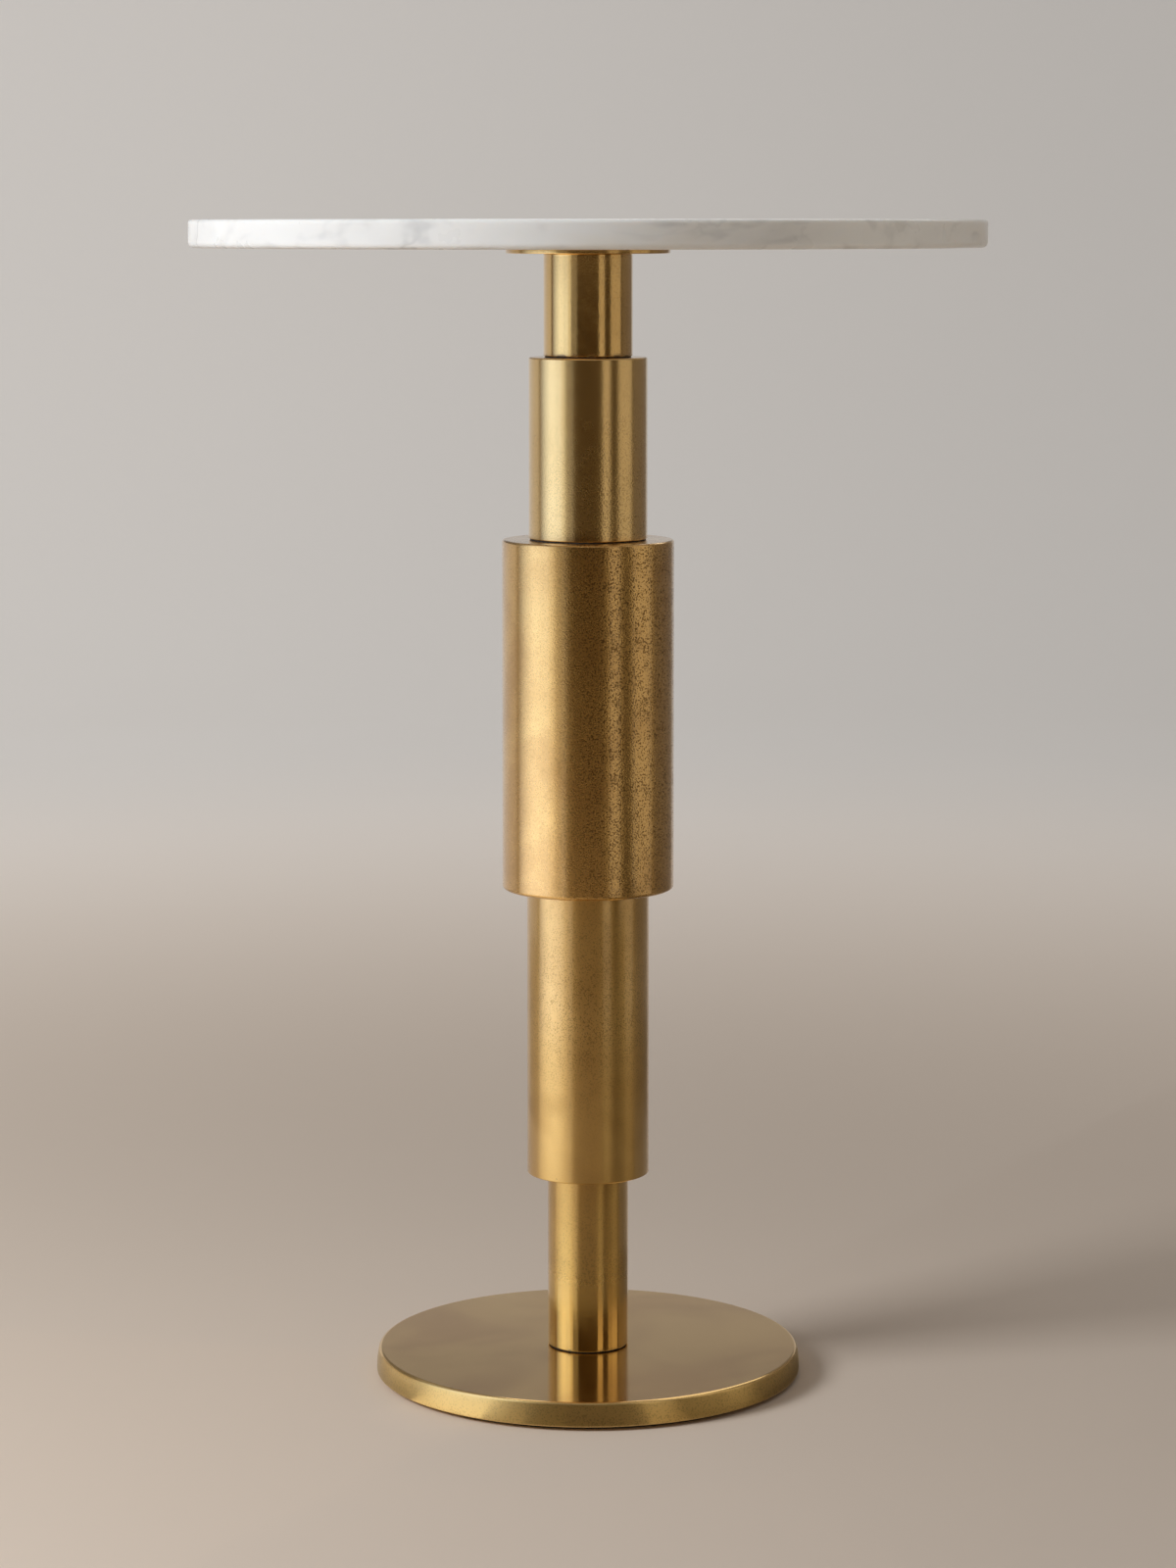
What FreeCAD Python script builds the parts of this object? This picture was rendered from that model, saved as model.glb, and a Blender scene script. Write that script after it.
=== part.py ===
import FreeCAD, Part
import math
import os

import Sketcher

# Side table: a round marble top on a column of hollow brass cylinders, clamped by one tie rod.
# Millimetres, +Z up, origin on the floor at the centre of the column.

SIZES = {
    # marble top and the threaded inserts bonded into its underside
    "top_diameter": 400,
    "top_thickness": 14,
    "top_upper_round": 2,
    "top_lower_round": 3,
    "insert_cover": 4.7,
    "insert_diameter": 8,
    "insert_groove_depth": 0.6,
    "insert_groove_width": 3,
    "bond_gap": 0.1,
    # bedding sheet, flange and the screws that hold the top
    "bedding_thickness": 0.6,
    "bedding_inset": 0.8,
    "flange_diameter": 83,
    "flange_thickness": 2.4,
    "flange_round": 0.5,
    "screw_count": 4,
    "screw_diameter": 4,
    "screw_gap": 0.25,
    "screw_tip_room": 1,
    "countersink_land": 0.4,
    "socket_flats": 2.5,
    "socket_depth": 1.4,
    "hub_height": 14,
    "hub_shoulder": 6.4,
    "braze_gap": 0.05,
    # column cylinders, from the top down
    "neck_diameter": 45,
    "neck_length": 51.5,
    "neck_wall": 3,
    "upper_diameter": 60,
    "upper_length": 91.5,
    "upper_wall": 4,
    "drum_diameter": 87,
    "drum_length": 177.5,
    "drum_wall": 5,
    "drum_ceiling": 10,
    "end_plate_thickness": 10,
    "lower_diameter": 62,
    "lower_length": 145.5,
    "lower_wall": 4,
    "sleeve_floor": 8,
    "foot_diameter": 41,
    "foot_length": 88.5,
    "foot_wall": 3,
    "rim_round": 1,
    "joint_round": 0.6,
    # registers that centre one cylinder on the next, and the gaskets between them
    "spigot_height": 4,
    "register_gap": 0.1,
    "gasket_thickness": 0.5,
    "gasket_inset": 0.8,
    # base plate, the bush in its middle and its pad
    "base_diameter": 216,
    "base_thickness": 12,
    "base_draft": 1.2,
    "base_upper_round": 2,
    "base_lower_round": 0.8,
    "bush_register": 8,
    "bush_shoulder": 4.6,
    "bush_flange_thickness": 4,
    "bush_gap": 0.05,
    "pad_thickness": 2,
    "pad_inset": 5,
    "pad_hole_margin": 1,
    # tie rod, nuts and washers
    "rod_diameter": 10,
    "rod_gap": 0.5,
    "rod_chamfer": 1,
    "rod_stickout": 0.5,
    "thread_depth": 0.5,
    "thread_gap": 0.05,
    "lower_thread_length": 30,
    "upper_thread_length": 34,
    "nut_flats": 16,
    "nut_thickness": 5,
    "washer_diameter": 20,
    "washer_thickness": 2,
    "spring_washer_diameter": 18,
    "spring_washer_thickness": 2.2,
    "spring_washer_split": 12,
    "wrench_room": 2,
    "recess_margin": 0.3,
}

# What stands on what, from the floor up, each with the size that gives its height in the stack.
STACK = [
    ("base_pad", "pad_thickness"),
    ("base_plate", "base_thickness"),
    ("base_gasket", "gasket_thickness"),
    ("foot_tube", "foot_length"),
    ("foot_gasket", "gasket_thickness"),
    ("lower_sleeve", "lower_length"),
    ("lower_gasket", "gasket_thickness"),
    ("drum_shell", "drum_length"),
    ("drum_gasket", "gasket_thickness"),
    ("upper_sleeve", "upper_length"),
    ("upper_gasket", "gasket_thickness"),
    ("neck_tube", "neck_length"),
    ("top_flange", "flange_thickness"),
    ("top_bedding", "bedding_thickness"),
    ("marble_top", "top_thickness"),
]

FULL_TURN = 360
TOLERANCE = 1e-4
NUT_CHAMFER_SLOPE = math.tan(math.radians(30))
HEXAGON_CORNERS = 6

doc = FreeCAD.newDocument("side_table")
sheet = doc.addObject("Spreadsheet::Sheet", "sizes")
for row, (alias, number) in enumerate(SIZES.items(), start=1):
    sheet.set(f"A{row}", alias)
    sheet.set(f"B{row}", str(number))
    sheet.setAlias(f"B{row}", alias)
doc.recompute()


def levels_of(stack):
    """Height of each stacked piece's underside above the floor, as an expression."""
    levels = {}
    below = "0"
    for node, height in stack:
        levels[node] = below
        below = f"{below} + sizes.{height}"
    return levels


LEVELS = levels_of(STACK)

# Radii and levels that more than one piece uses.
NECK_BORE = "(sizes.neck_diameter / 2 - sizes.neck_wall)"
UPPER_BORE = "(sizes.upper_diameter / 2 - sizes.upper_wall)"
DRUM_BORE = "(sizes.drum_diameter / 2 - sizes.drum_wall)"
PLATE_SEAT = "(sizes.drum_diameter / 2 - sizes.drum_wall / 2)"
LOWER_BORE = "(sizes.lower_diameter / 2 - sizes.lower_wall)"
FOOT_BORE = "(sizes.foot_diameter / 2 - sizes.foot_wall)"
ROD_HOLE = "(sizes.rod_diameter / 2 + sizes.rod_gap)"
THREAD_BORE = "(sizes.rod_diameter / 2 + sizes.thread_gap)"
SCREW_CIRCLE = "((sizes.neck_diameter + sizes.flange_diameter) / 4)"
SCREW_HOLE = "(sizes.screw_diameter / 2 + sizes.screw_gap)"
SCREW_HEAD_DEPTH = "(sizes.flange_thickness - sizes.countersink_land)"
SCREW_HEAD_EDGE = f"({SCREW_CIRCLE} + sizes.screw_diameter / 2 + {SCREW_HEAD_DEPTH})"
INSERT_DEPTH = "(sizes.top_thickness - sizes.insert_cover)"
INSERT_LENGTH = f"({INSERT_DEPTH} - sizes.bond_gap)"
HUB_RADIUS = f"({NECK_BORE} - sizes.register_gap)"
HUB_SPIGOT = f"({HUB_RADIUS} - sizes.hub_shoulder)"
BUSH_RADIUS = f"({FOOT_BORE} - sizes.register_gap)"
BUSH_FLANGE = f"({BUSH_RADIUS} + sizes.bush_shoulder)"
RECESS_RADIUS = "(sizes.washer_diameter / 2 + sizes.wrench_room)"
ROD_BOTTOM = "sizes.pad_thickness + sizes.recess_margin"
NUT_BOTTOM = f"{ROD_BOTTOM} + sizes.rod_stickout"
SPRING_BOTTOM = f"{NUT_BOTTOM} + sizes.nut_thickness"
WASHER_BOTTOM = f"{SPRING_BOTTOM} + sizes.spring_washer_thickness"
RECESS_DEPTH = f"({WASHER_BOTTOM} + sizes.washer_thickness - sizes.pad_thickness)"


def value_of(expression):
    """Number that an expression has with the present sizes."""
    return float(sheet.evalExpression(expression))


def spigot_for(bore):
    """Radius of a register that fits the given bore."""
    return f"({bore} - sizes.register_gap)"


def new_body(node, level):
    """Empty body with its underside, or its seat, at the given level on the column's axis."""
    body = doc.addObject("PartDesign::Body", node)
    body.Label = node
    body.setExpression("Placement.Base.z", level)
    return body


def origin_part(body, role):
    """One of the planes or axes of the body's own origin."""
    return next(part for part in body.Origin.OriginFeatures if part.Role == role)


def new_sketch(body, name, role):
    """Empty sketch on one of the body's origin planes."""
    sketch = body.newObject("Sketcher::SketchObject", f"{body.Name}_{name}")
    sketch.AttachmentSupport = [(origin_part(body, role), "")]
    sketch.MapMode = "FlatFace"
    return sketch


def bind_point(sketch, element, point, across, along):
    """Tie one point of the sketch to its distances across and along from the sketch's origin."""
    for kind, axis, expression in (("DistanceX", -2, across), ("DistanceY", -1, along)):
        number = value_of(expression)
        if abs(number) < TOLERANCE:
            sketch.addConstraint(Sketcher.Constraint("PointOnObject", element, point, axis))
            continue
        index = sketch.addConstraint(Sketcher.Constraint(kind, -1, 1, element, point, number))
        sketch.setExpression(f"Constraints[{index}]", expression)


def outline_sketch(body, name, corners):
    """Closed outline of straight lines in the XZ plane, from (radius, height) corners."""
    sketch = new_sketch(body, name, "XZ_Plane")
    points = [FreeCAD.Vector(value_of(radius), value_of(height), 0) for radius, height in corners]
    count = len(points)
    for index in range(count):
        sketch.addGeometry(Part.LineSegment(points[index], points[(index + 1) % count]))
    for index in range(count):
        sketch.addConstraint(Sketcher.Constraint("Coincident", index, 2, (index + 1) % count, 1))
    for index, (radius, height) in enumerate(corners):
        bind_point(sketch, index, 1, radius, height)
    return sketch


def axis_line(sketch, radius, height):
    """Upright construction line in an outline, which a feature off the column's axis turns about."""
    foot = FreeCAD.Vector(value_of(radius), 0, 0)
    head = FreeCAD.Vector(value_of(radius), value_of(height), 0)
    line = sketch.addGeometry(Part.LineSegment(foot, head), True)
    bind_point(sketch, line, 1, radius, "0")
    bind_point(sketch, line, 2, radius, height)
    return "Axis0"


def turn(body, corners, name="outline", kind="Revolution", off_axis=None, angle=str(FULL_TURN)):
    """Revolution or Groove of an outline, about the column's axis or an upright (radius, height) line."""
    sketch = outline_sketch(body, name, corners)
    axis = axis_line(sketch, *off_axis) if off_axis else "V_Axis"
    doc.recompute()
    feature = body.newObject(f"PartDesign::{kind}", f"{body.Name}_{name}_turned")
    feature.Profile = sketch
    feature.ReferenceAxis = (sketch, [axis])
    feature.setExpression("Angle", angle)
    doc.recompute()
    return feature


def round_rims(body, name, radius, rims):
    """Fillet on the circular edges found at the given (radius, height) places."""
    base = body.Tip
    places = [(value_of(rim_radius), value_of(rim_height)) for rim_radius, rim_height in rims]
    edges = []
    for index, edge in enumerate(base.Shape.Edges, start=1):
        if not isinstance(edge.Curve, Part.Circle):
            continue
        place = (edge.Curve.Radius, edge.Curve.Center.z)
        if any(math.dist(place, wanted) < TOLERANCE for wanted in places):
            edges.append(f"Edge{index}")
    fillet = body.newObject("PartDesign::Fillet", f"{body.Name}_{name}")
    fillet.Base = (base, edges)
    fillet.setExpression("Radius", radius)
    doc.recompute()
    return fillet


def repeat_round(body, name, features):
    """Copies of features about the column's axis, one for each screw."""
    pattern = body.newObject("PartDesign::PolarPattern", f"{body.Name}_{name}")
    pattern.Originals = features
    pattern.Axis = (origin_part(body, "Z_Axis"), [""])
    pattern.Angle = FULL_TURN
    pattern.setExpression("Occurrences", "sizes.screw_count")
    body.Tip = pattern
    doc.recompute()
    return pattern


def hexagon_sketch(body, name, flats, centre):
    """Regular hexagon in the XY plane, its flats the given distance apart, centred on the X axis."""
    sketch = new_sketch(body, name, "XY_Plane")
    middle = value_of(centre)
    corner = value_of(f"{flats} / 2") / math.cos(math.pi / HEXAGON_CORNERS)
    turns = [2 * math.pi * index / HEXAGON_CORNERS for index in range(HEXAGON_CORNERS)]
    points = [FreeCAD.Vector(middle + corner * math.cos(a), corner * math.sin(a), 0) for a in turns]
    for index in range(HEXAGON_CORNERS):
        sketch.addGeometry(Part.LineSegment(points[index], points[(index + 1) % HEXAGON_CORNERS]))
    for index in range(HEXAGON_CORNERS):
        following = (index + 1) % HEXAGON_CORNERS
        sketch.addConstraint(Sketcher.Constraint("Coincident", index, 2, following, 1))
    circle = Part.Circle(FreeCAD.Vector(middle, 0, 0), FreeCAD.Vector(0, 0, 1), corner)
    rim = sketch.addGeometry(circle, True)
    for index in range(HEXAGON_CORNERS):
        sketch.addConstraint(Sketcher.Constraint("PointOnObject", index, 1, rim))
    for index in range(1, HEXAGON_CORNERS):
        sketch.addConstraint(Sketcher.Constraint("Equal", 0, index))
    bind_point(sketch, rim, 3, centre, "0")
    sketch.addConstraint(Sketcher.Constraint("PointOnObject", 0, 1, -1))
    size = sketch.addConstraint(Sketcher.Constraint("Radius", rim, corner))
    sketch.setExpression(f"Constraints[{size}]", f"{flats} / 2 / cos(180 deg / {HEXAGON_CORNERS})")
    doc.recompute()
    return sketch


def make_tube(node, diameter, bore, length):
    """Plain tube with both outer rims eased."""
    body = new_body(node, LEVELS[node])
    outer = f"sizes.{diameter} / 2"
    top = f"sizes.{length}"
    turn(body, [(bore, "0"), (outer, "0"), (outer, top), (bore, top)])
    round_rims(body, "rims", "sizes.joint_round", [(outer, "0"), (outer, top)])
    return body


def make_gasket(node, diameter, bore):
    """Thin ring between two cylinders, set in from the outside of the narrower one."""
    body = new_body(node, LEVELS[node])
    outer = f"sizes.{diameter} / 2 - sizes.gasket_inset"
    top = "sizes.gasket_thickness"
    turn(body, [(bore, "0"), (outer, "0"), (outer, top), (bore, top)])
    return body


def make_marble_top():
    """Round slab with a tight upper arris, a softer lower one and blind holes for the inserts."""
    body = new_body("marble_top", LEVELS["marble_top"])
    outer = "sizes.top_diameter / 2"
    top = "sizes.top_thickness"
    turn(body, [("0", "0"), (outer, "0"), (outer, top), ("0", top)])
    round_rims(body, "upper_arris", "sizes.top_upper_round", [(outer, top)])
    round_rims(body, "lower_arris", "sizes.top_lower_round", [(outer, "0")])
    hole = f"{SCREW_CIRCLE} + sizes.insert_diameter / 2 + sizes.bond_gap"
    corners = [(SCREW_CIRCLE, "0"), (hole, "0"), (hole, INSERT_DEPTH), (SCREW_CIRCLE, INSERT_DEPTH)]
    drilled = turn(body, corners, "insert_hole", "Groove", (SCREW_CIRCLE, INSERT_DEPTH))
    repeat_round(body, "insert_holes", [drilled])
    return body


def make_top_inserts():
    """Threaded sleeves bonded in the slab, each with a groove that keys it in the bond."""
    body = new_body("top_inserts", LEVELS["marble_top"])
    bore = f"{SCREW_CIRCLE} + sizes.screw_diameter / 2 + sizes.thread_gap"
    outer = f"{SCREW_CIRCLE} + sizes.insert_diameter / 2"
    groove = f"{outer} - sizes.insert_groove_depth"
    groove_low = f"({INSERT_LENGTH} - sizes.insert_groove_width) / 2"
    groove_high = f"({INSERT_LENGTH} + sizes.insert_groove_width) / 2"
    corners = [
        (bore, "0"),
        (outer, "0"),
        (outer, groove_low),
        (groove, groove_low),
        (groove, groove_high),
        (outer, groove_high),
        (outer, INSERT_LENGTH),
        (bore, INSERT_LENGTH),
    ]
    sleeve = turn(body, corners, off_axis=(SCREW_CIRCLE, INSERT_LENGTH))
    repeat_round(body, "around", [sleeve])
    return body


def make_top_bedding():
    """Thin sheet between the flange and the stone, with a hole for each screw."""
    body = new_body("top_bedding", LEVELS["top_bedding"])
    outer = "sizes.flange_diameter / 2 - sizes.bedding_inset"
    top = "sizes.bedding_thickness"
    turn(body, [(HUB_SPIGOT, "0"), (outer, "0"), (outer, top), (HUB_SPIGOT, top)])
    hole = f"{SCREW_CIRCLE} + {SCREW_HOLE}"
    corners = [(SCREW_CIRCLE, "0"), (hole, "0"), (hole, top), (SCREW_CIRCLE, top)]
    punched = turn(body, corners, "screw_hole", "Groove", (SCREW_CIRCLE, top))
    repeat_round(body, "screw_holes", [punched])
    return body


def make_top_flange():
    """Disc under the top, bored for the hub and countersunk from below for the screws."""
    body = new_body("top_flange", LEVELS["top_flange"])
    bore = f"{HUB_SPIGOT} + sizes.braze_gap"
    outer = "sizes.flange_diameter / 2"
    top = "sizes.flange_thickness"
    turn(body, [(bore, "0"), (outer, "0"), (outer, top), (bore, top)])
    round_rims(body, "rim", "sizes.flange_round", [(outer, "0"), (outer, top)])
    hole = f"{SCREW_CIRCLE} + {SCREW_HOLE}"
    corners = [
        (SCREW_CIRCLE, "0"),
        (SCREW_HEAD_EDGE, "0"),
        (hole, f"{SCREW_HEAD_DEPTH} - sizes.screw_gap"),
        (hole, top),
        (SCREW_CIRCLE, top),
    ]
    sunk = turn(body, corners, "screw_hole", "Groove", (SCREW_CIRCLE, top))
    repeat_round(body, "screw_holes", [sunk])
    return body


def make_flange_screws():
    """Countersunk screws with hexagon sockets, heads level with the flange's underside."""
    body = new_body("flange_screws", LEVELS["top_flange"])
    shank = f"{SCREW_CIRCLE} + sizes.screw_diameter / 2"
    tip = f"sizes.flange_thickness + sizes.bedding_thickness + {INSERT_LENGTH} - sizes.screw_tip_room"
    corners = [
        (SCREW_CIRCLE, "0"),
        (SCREW_HEAD_EDGE, "0"),
        (shank, SCREW_HEAD_DEPTH),
        (shank, tip),
        (SCREW_CIRCLE, tip),
    ]
    blank = turn(body, corners, off_axis=(SCREW_CIRCLE, tip))
    socket_sketch = hexagon_sketch(body, "socket", "sizes.socket_flats", SCREW_CIRCLE)
    socket = body.newObject("PartDesign::Pocket", "flange_screws_socket_cut")
    socket.Profile = socket_sketch
    socket.Reversed = True
    socket.setExpression("Length", "sizes.socket_depth")
    doc.recompute()
    repeat_round(body, "around", [blank, socket])
    return body


def make_flange_hub():
    """Threaded hub brazed into the flange, which centres the neck and takes the rod's upper end."""
    level = f"{LEVELS['top_flange']} - sizes.hub_height"
    body = new_body("flange_hub", level)
    top = "sizes.hub_height + sizes.flange_thickness"
    corners = [
        (THREAD_BORE, "0"),
        (HUB_RADIUS, "0"),
        (HUB_RADIUS, "sizes.hub_height"),
        (HUB_SPIGOT, "sizes.hub_height"),
        (HUB_SPIGOT, top),
        (THREAD_BORE, top),
    ]
    turn(body, corners)
    round_rims(body, "lead_in", "sizes.joint_round", [(HUB_RADIUS, "0")])
    return body


def make_nut(node, level):
    """Thin hexagon nut with its corners chamfered on both faces."""
    body = new_body(node, level)
    hexagon = hexagon_sketch(body, "hexagon", "sizes.nut_flats", "0")
    pad = body.newObject("PartDesign::Pad", f"{node}_blank")
    pad.Profile = hexagon
    pad.setExpression("Length", "sizes.nut_thickness")
    doc.recompute()
    flat = "sizes.nut_flats / 2"
    beyond = "sizes.nut_flats"
    drop = f"sizes.nut_flats / 2 * {NUT_CHAMFER_SLOPE}"
    top = "sizes.nut_thickness"
    turn(body, [(flat, top), (beyond, top), (beyond, f"{top} - {drop}")], "upper_corners", "Groove")
    turn(body, [(flat, "0"), (beyond, "0"), (beyond, drop)], "lower_corners", "Groove")
    bore = [("0", "0"), (THREAD_BORE, "0"), (THREAD_BORE, top), ("0", top)]
    turn(body, bore, "bore", "Groove")
    return body


def make_tie_rod():
    """Rod with a thread at each end and a slimmer shank between them, clamping the whole column."""
    body = new_body("tie_rod", ROD_BOTTOM)
    thread = "sizes.rod_diameter / 2"
    shank = f"{thread} - sizes.thread_depth"
    point = f"{thread} - sizes.rod_chamfer"
    top = f"({LEVELS['top_flange']} - ({ROD_BOTTOM}))"
    corners = [
        ("0", "0"),
        (point, "0"),
        (thread, "sizes.rod_chamfer"),
        (thread, "sizes.lower_thread_length"),
        (shank, "sizes.lower_thread_length + sizes.thread_depth"),
        (shank, f"{top} - sizes.upper_thread_length - sizes.thread_depth"),
        (thread, f"{top} - sizes.upper_thread_length"),
        (thread, f"{top} - sizes.rod_chamfer"),
        (point, top),
        ("0", top),
    ]
    turn(body, corners)
    return body


def make_upper_sleeve():
    """Cast shell, open below, with a closed top that carries the neck's register."""
    body = new_body("upper_sleeve", LEVELS["upper_sleeve"])
    outer = "sizes.upper_diameter / 2"
    top = "sizes.upper_length"
    ceiling = f"{top} - sizes.sleeve_floor"
    spigot = spigot_for(NECK_BORE)
    crown = f"{top} + sizes.spigot_height"
    corners = [
        (UPPER_BORE, "0"),
        (outer, "0"),
        (outer, top),
        (spigot, top),
        (spigot, crown),
        (ROD_HOLE, crown),
        (ROD_HOLE, ceiling),
        (UPPER_BORE, ceiling),
    ]
    turn(body, corners)
    round_rims(body, "upper_rim", "sizes.rim_round", [(outer, top)])
    round_rims(body, "lower_rim", "sizes.joint_round", [(outer, "0")])
    return body


def make_drum_shell():
    """Cast drum, closed above with the upper sleeve's register, rebated below for its end plate."""
    body = new_body("drum_shell", LEVELS["drum_shell"])
    outer = "sizes.drum_diameter / 2"
    top = "sizes.drum_length"
    ceiling = f"{top} - sizes.drum_ceiling"
    spigot = spigot_for(UPPER_BORE)
    crown = f"{top} + sizes.spigot_height"
    corners = [
        (PLATE_SEAT, "0"),
        (outer, "0"),
        (outer, top),
        (spigot, top),
        (spigot, crown),
        (ROD_HOLE, crown),
        (ROD_HOLE, ceiling),
        (DRUM_BORE, ceiling),
        (DRUM_BORE, "sizes.end_plate_thickness"),
        (PLATE_SEAT, "sizes.end_plate_thickness"),
    ]
    turn(body, corners)
    round_rims(body, "outer_rims", "sizes.rim_round", [(outer, top), (outer, "0")])
    return body


def make_drum_end_plate():
    """Disc that closes the drum from below and centres the lower sleeve with its register."""
    body = new_body("drum_end_plate", LEVELS["drum_shell"])
    outer = f"{PLATE_SEAT} - sizes.register_gap"
    top = "sizes.end_plate_thickness"
    spigot = spigot_for(LOWER_BORE)
    crown = "-(sizes.spigot_height)"
    corners = [
        (ROD_HOLE, crown),
        (spigot, crown),
        (spigot, "0"),
        (outer, "0"),
        (outer, top),
        (ROD_HOLE, top),
    ]
    turn(body, corners)
    return body


def make_lower_sleeve():
    """Cast cup, open above, whose floor carries the register for the foot tube."""
    body = new_body("lower_sleeve", LEVELS["lower_sleeve"])
    outer = "sizes.lower_diameter / 2"
    top = "sizes.lower_length"
    spigot = spigot_for(FOOT_BORE)
    crown = "-(sizes.spigot_height)"
    corners = [
        (ROD_HOLE, crown),
        (spigot, crown),
        (spigot, "0"),
        (outer, "0"),
        (outer, top),
        (LOWER_BORE, top),
        (LOWER_BORE, "sizes.sleeve_floor"),
        (ROD_HOLE, "sizes.sleeve_floor"),
    ]
    turn(body, corners)
    round_rims(body, "rims", "sizes.joint_round", [(outer, "0"), (outer, top)])
    return body


def make_base_plate():
    """Foot plate with a drafted rim, bored for the bush and seated underneath for its flange."""
    body = new_body("base_plate", LEVELS["base_plate"])
    outer = "sizes.base_diameter / 2"
    upper_outer = f"{outer} - sizes.base_draft"
    top = "sizes.base_thickness"
    bore = f"{BUSH_RADIUS} + sizes.bush_gap"
    seat = f"{BUSH_FLANGE} + sizes.bush_gap"
    corners = [
        (seat, "0"),
        (outer, "0"),
        (upper_outer, top),
        (bore, top),
        (bore, "sizes.bush_flange_thickness"),
        (seat, "sizes.bush_flange_thickness"),
    ]
    turn(body, corners)
    round_rims(body, "upper_rim", "sizes.base_upper_round", [(upper_outer, top)])
    round_rims(body, "lower_rim", "sizes.base_lower_round", [(outer, "0")])
    return body


def make_base_bush():
    """Flanged bush that the nut pulls up into the plate: recess for the nut, register for the foot."""
    body = new_body("base_bush", LEVELS["base_plate"])
    top = "sizes.base_thickness + sizes.bush_register"
    corners = [
        (RECESS_RADIUS, "0"),
        (BUSH_FLANGE, "0"),
        (BUSH_FLANGE, "sizes.bush_flange_thickness"),
        (BUSH_RADIUS, "sizes.bush_flange_thickness"),
        (BUSH_RADIUS, top),
        (ROD_HOLE, top),
        (ROD_HOLE, RECESS_DEPTH),
        (RECESS_RADIUS, RECESS_DEPTH),
    ]
    turn(body, corners)
    round_rims(body, "lead_in", "sizes.joint_round", [(BUSH_RADIUS, top)])
    return body


def make_base_washer():
    """Flat washer against the roof of the nut recess."""
    body = new_body("base_washer", WASHER_BOTTOM)
    outer = "sizes.washer_diameter / 2"
    top = "sizes.washer_thickness"
    turn(body, [(ROD_HOLE, "0"), (outer, "0"), (outer, top), (ROD_HOLE, top)])
    return body


def make_base_spring_washer():
    """Split spring washer, pressed flat between the nut and the flat washer."""
    body = new_body("base_spring_washer", SPRING_BOTTOM)
    outer = "sizes.spring_washer_diameter / 2"
    top = "sizes.spring_washer_thickness"
    corners = [(ROD_HOLE, "0"), (outer, "0"), (outer, top), (ROD_HOLE, top)]
    turn(body, corners, angle=f"{FULL_TURN} - sizes.spring_washer_split")
    return body


def make_base_pad():
    """Thin ring under the base plate, set in from its rim and open around the bush."""
    body = new_body("base_pad", LEVELS["base_pad"])
    bore = f"{BUSH_FLANGE} + sizes.pad_hole_margin"
    outer = "sizes.base_diameter / 2 - sizes.pad_inset"
    top = "sizes.pad_thickness"
    turn(body, [(bore, "0"), (outer, "0"), (outer, top), (bore, top)])
    return body


def make_table():
    """Every piece of the table, from the floor up."""
    pieces = [
        make_base_pad(),
        make_base_plate(),
        make_base_bush(),
        make_nut("base_nut", NUT_BOTTOM),
        make_base_spring_washer(),
        make_base_washer(),
        make_tie_rod(),
        make_tube("foot_tube", "foot_diameter", FOOT_BORE, "foot_length"),
        make_lower_sleeve(),
        make_drum_end_plate(),
        make_drum_shell(),
        make_upper_sleeve(),
        make_tube("neck_tube", "neck_diameter", NECK_BORE, "neck_length"),
        make_nut("hub_jam_nut", f"{LEVELS['top_flange']} - sizes.hub_height - sizes.nut_thickness"),
        make_flange_hub(),
        make_top_flange(),
        make_flange_screws(),
        make_top_bedding(),
        make_top_inserts(),
        make_marble_top(),
    ]
    for node, diameter, bore in (
        ("base_gasket", "foot_diameter", FOOT_BORE),
        ("foot_gasket", "foot_diameter", FOOT_BORE),
        ("lower_gasket", "lower_diameter", LOWER_BORE),
        ("drum_gasket", "upper_diameter", UPPER_BORE),
        ("upper_gasket", "neck_diameter", NECK_BORE),
    ):
        pieces.append(make_gasket(node, diameter, bore))
    return pieces


def check_document(pieces):
    """Stop if any object of the document failed or any piece has no sound shape."""
    for item in doc.Objects:
        if "Invalid" in item.State or "Error" in item.State:
            raise RuntimeError(f"{item.Label} failed: {item.State}")
    for piece in pieces:
        if piece.Shape.isNull() or not piece.Shape.isValid():
            raise RuntimeError(f"{piece.Label} has no valid shape")


table = make_table()
doc.recompute()
check_document(table)
os.makedirs("parts", exist_ok=True)
for piece in table:
    piece.Shape.exportStep(f"parts/{piece.Label}.step")
    print(piece.Label, len(piece.Shape.Solids), round(piece.Shape.Volume, 1))
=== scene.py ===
import math

import bmesh
import bpy
from mathutils import Matrix, Vector, noise


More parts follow.
